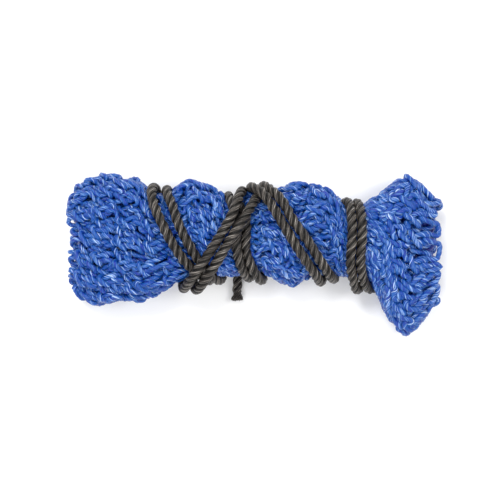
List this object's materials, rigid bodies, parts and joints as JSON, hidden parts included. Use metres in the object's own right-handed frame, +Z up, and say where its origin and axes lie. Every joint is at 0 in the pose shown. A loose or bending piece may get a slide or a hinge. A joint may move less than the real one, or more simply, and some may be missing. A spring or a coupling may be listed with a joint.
{
  "type": "hay net",
  "caption": "Knotted polypropylene hay net folded and rolled into a bundle, pinched and tied with its own doubled twisted drawcord.",
  "frame": {"origin": "middle of the footprint, on the ground that the rolled net lies on", "axes": "+X along the roll towards the flared mouth of the net, +Z up off the ground"},
  "size_m": [0.285, 0.124, 0.0656],
  "materials": {
    "net_twine": "glossy split-film polypropylene twine",
    "drawcord": "satin three-strand twisted polypropylene cord",
    "sealed_end": "heat-sealed and frayed cord end"
  },
  "bodies": {
    "root": {"net_base_fold": "net_twine", "net_roll_left": "net_twine", "net_roll_middle": "net_twine", "net_roll_right": "net_twine", "net_mouth": "net_twine", "drawcord_first_run": "drawcord", "drawcord_second_run": "drawcord", "drawcord_first_end": "sealed_end", "drawcord_second_end": "sealed_end"}
  },
  "joints": []
}
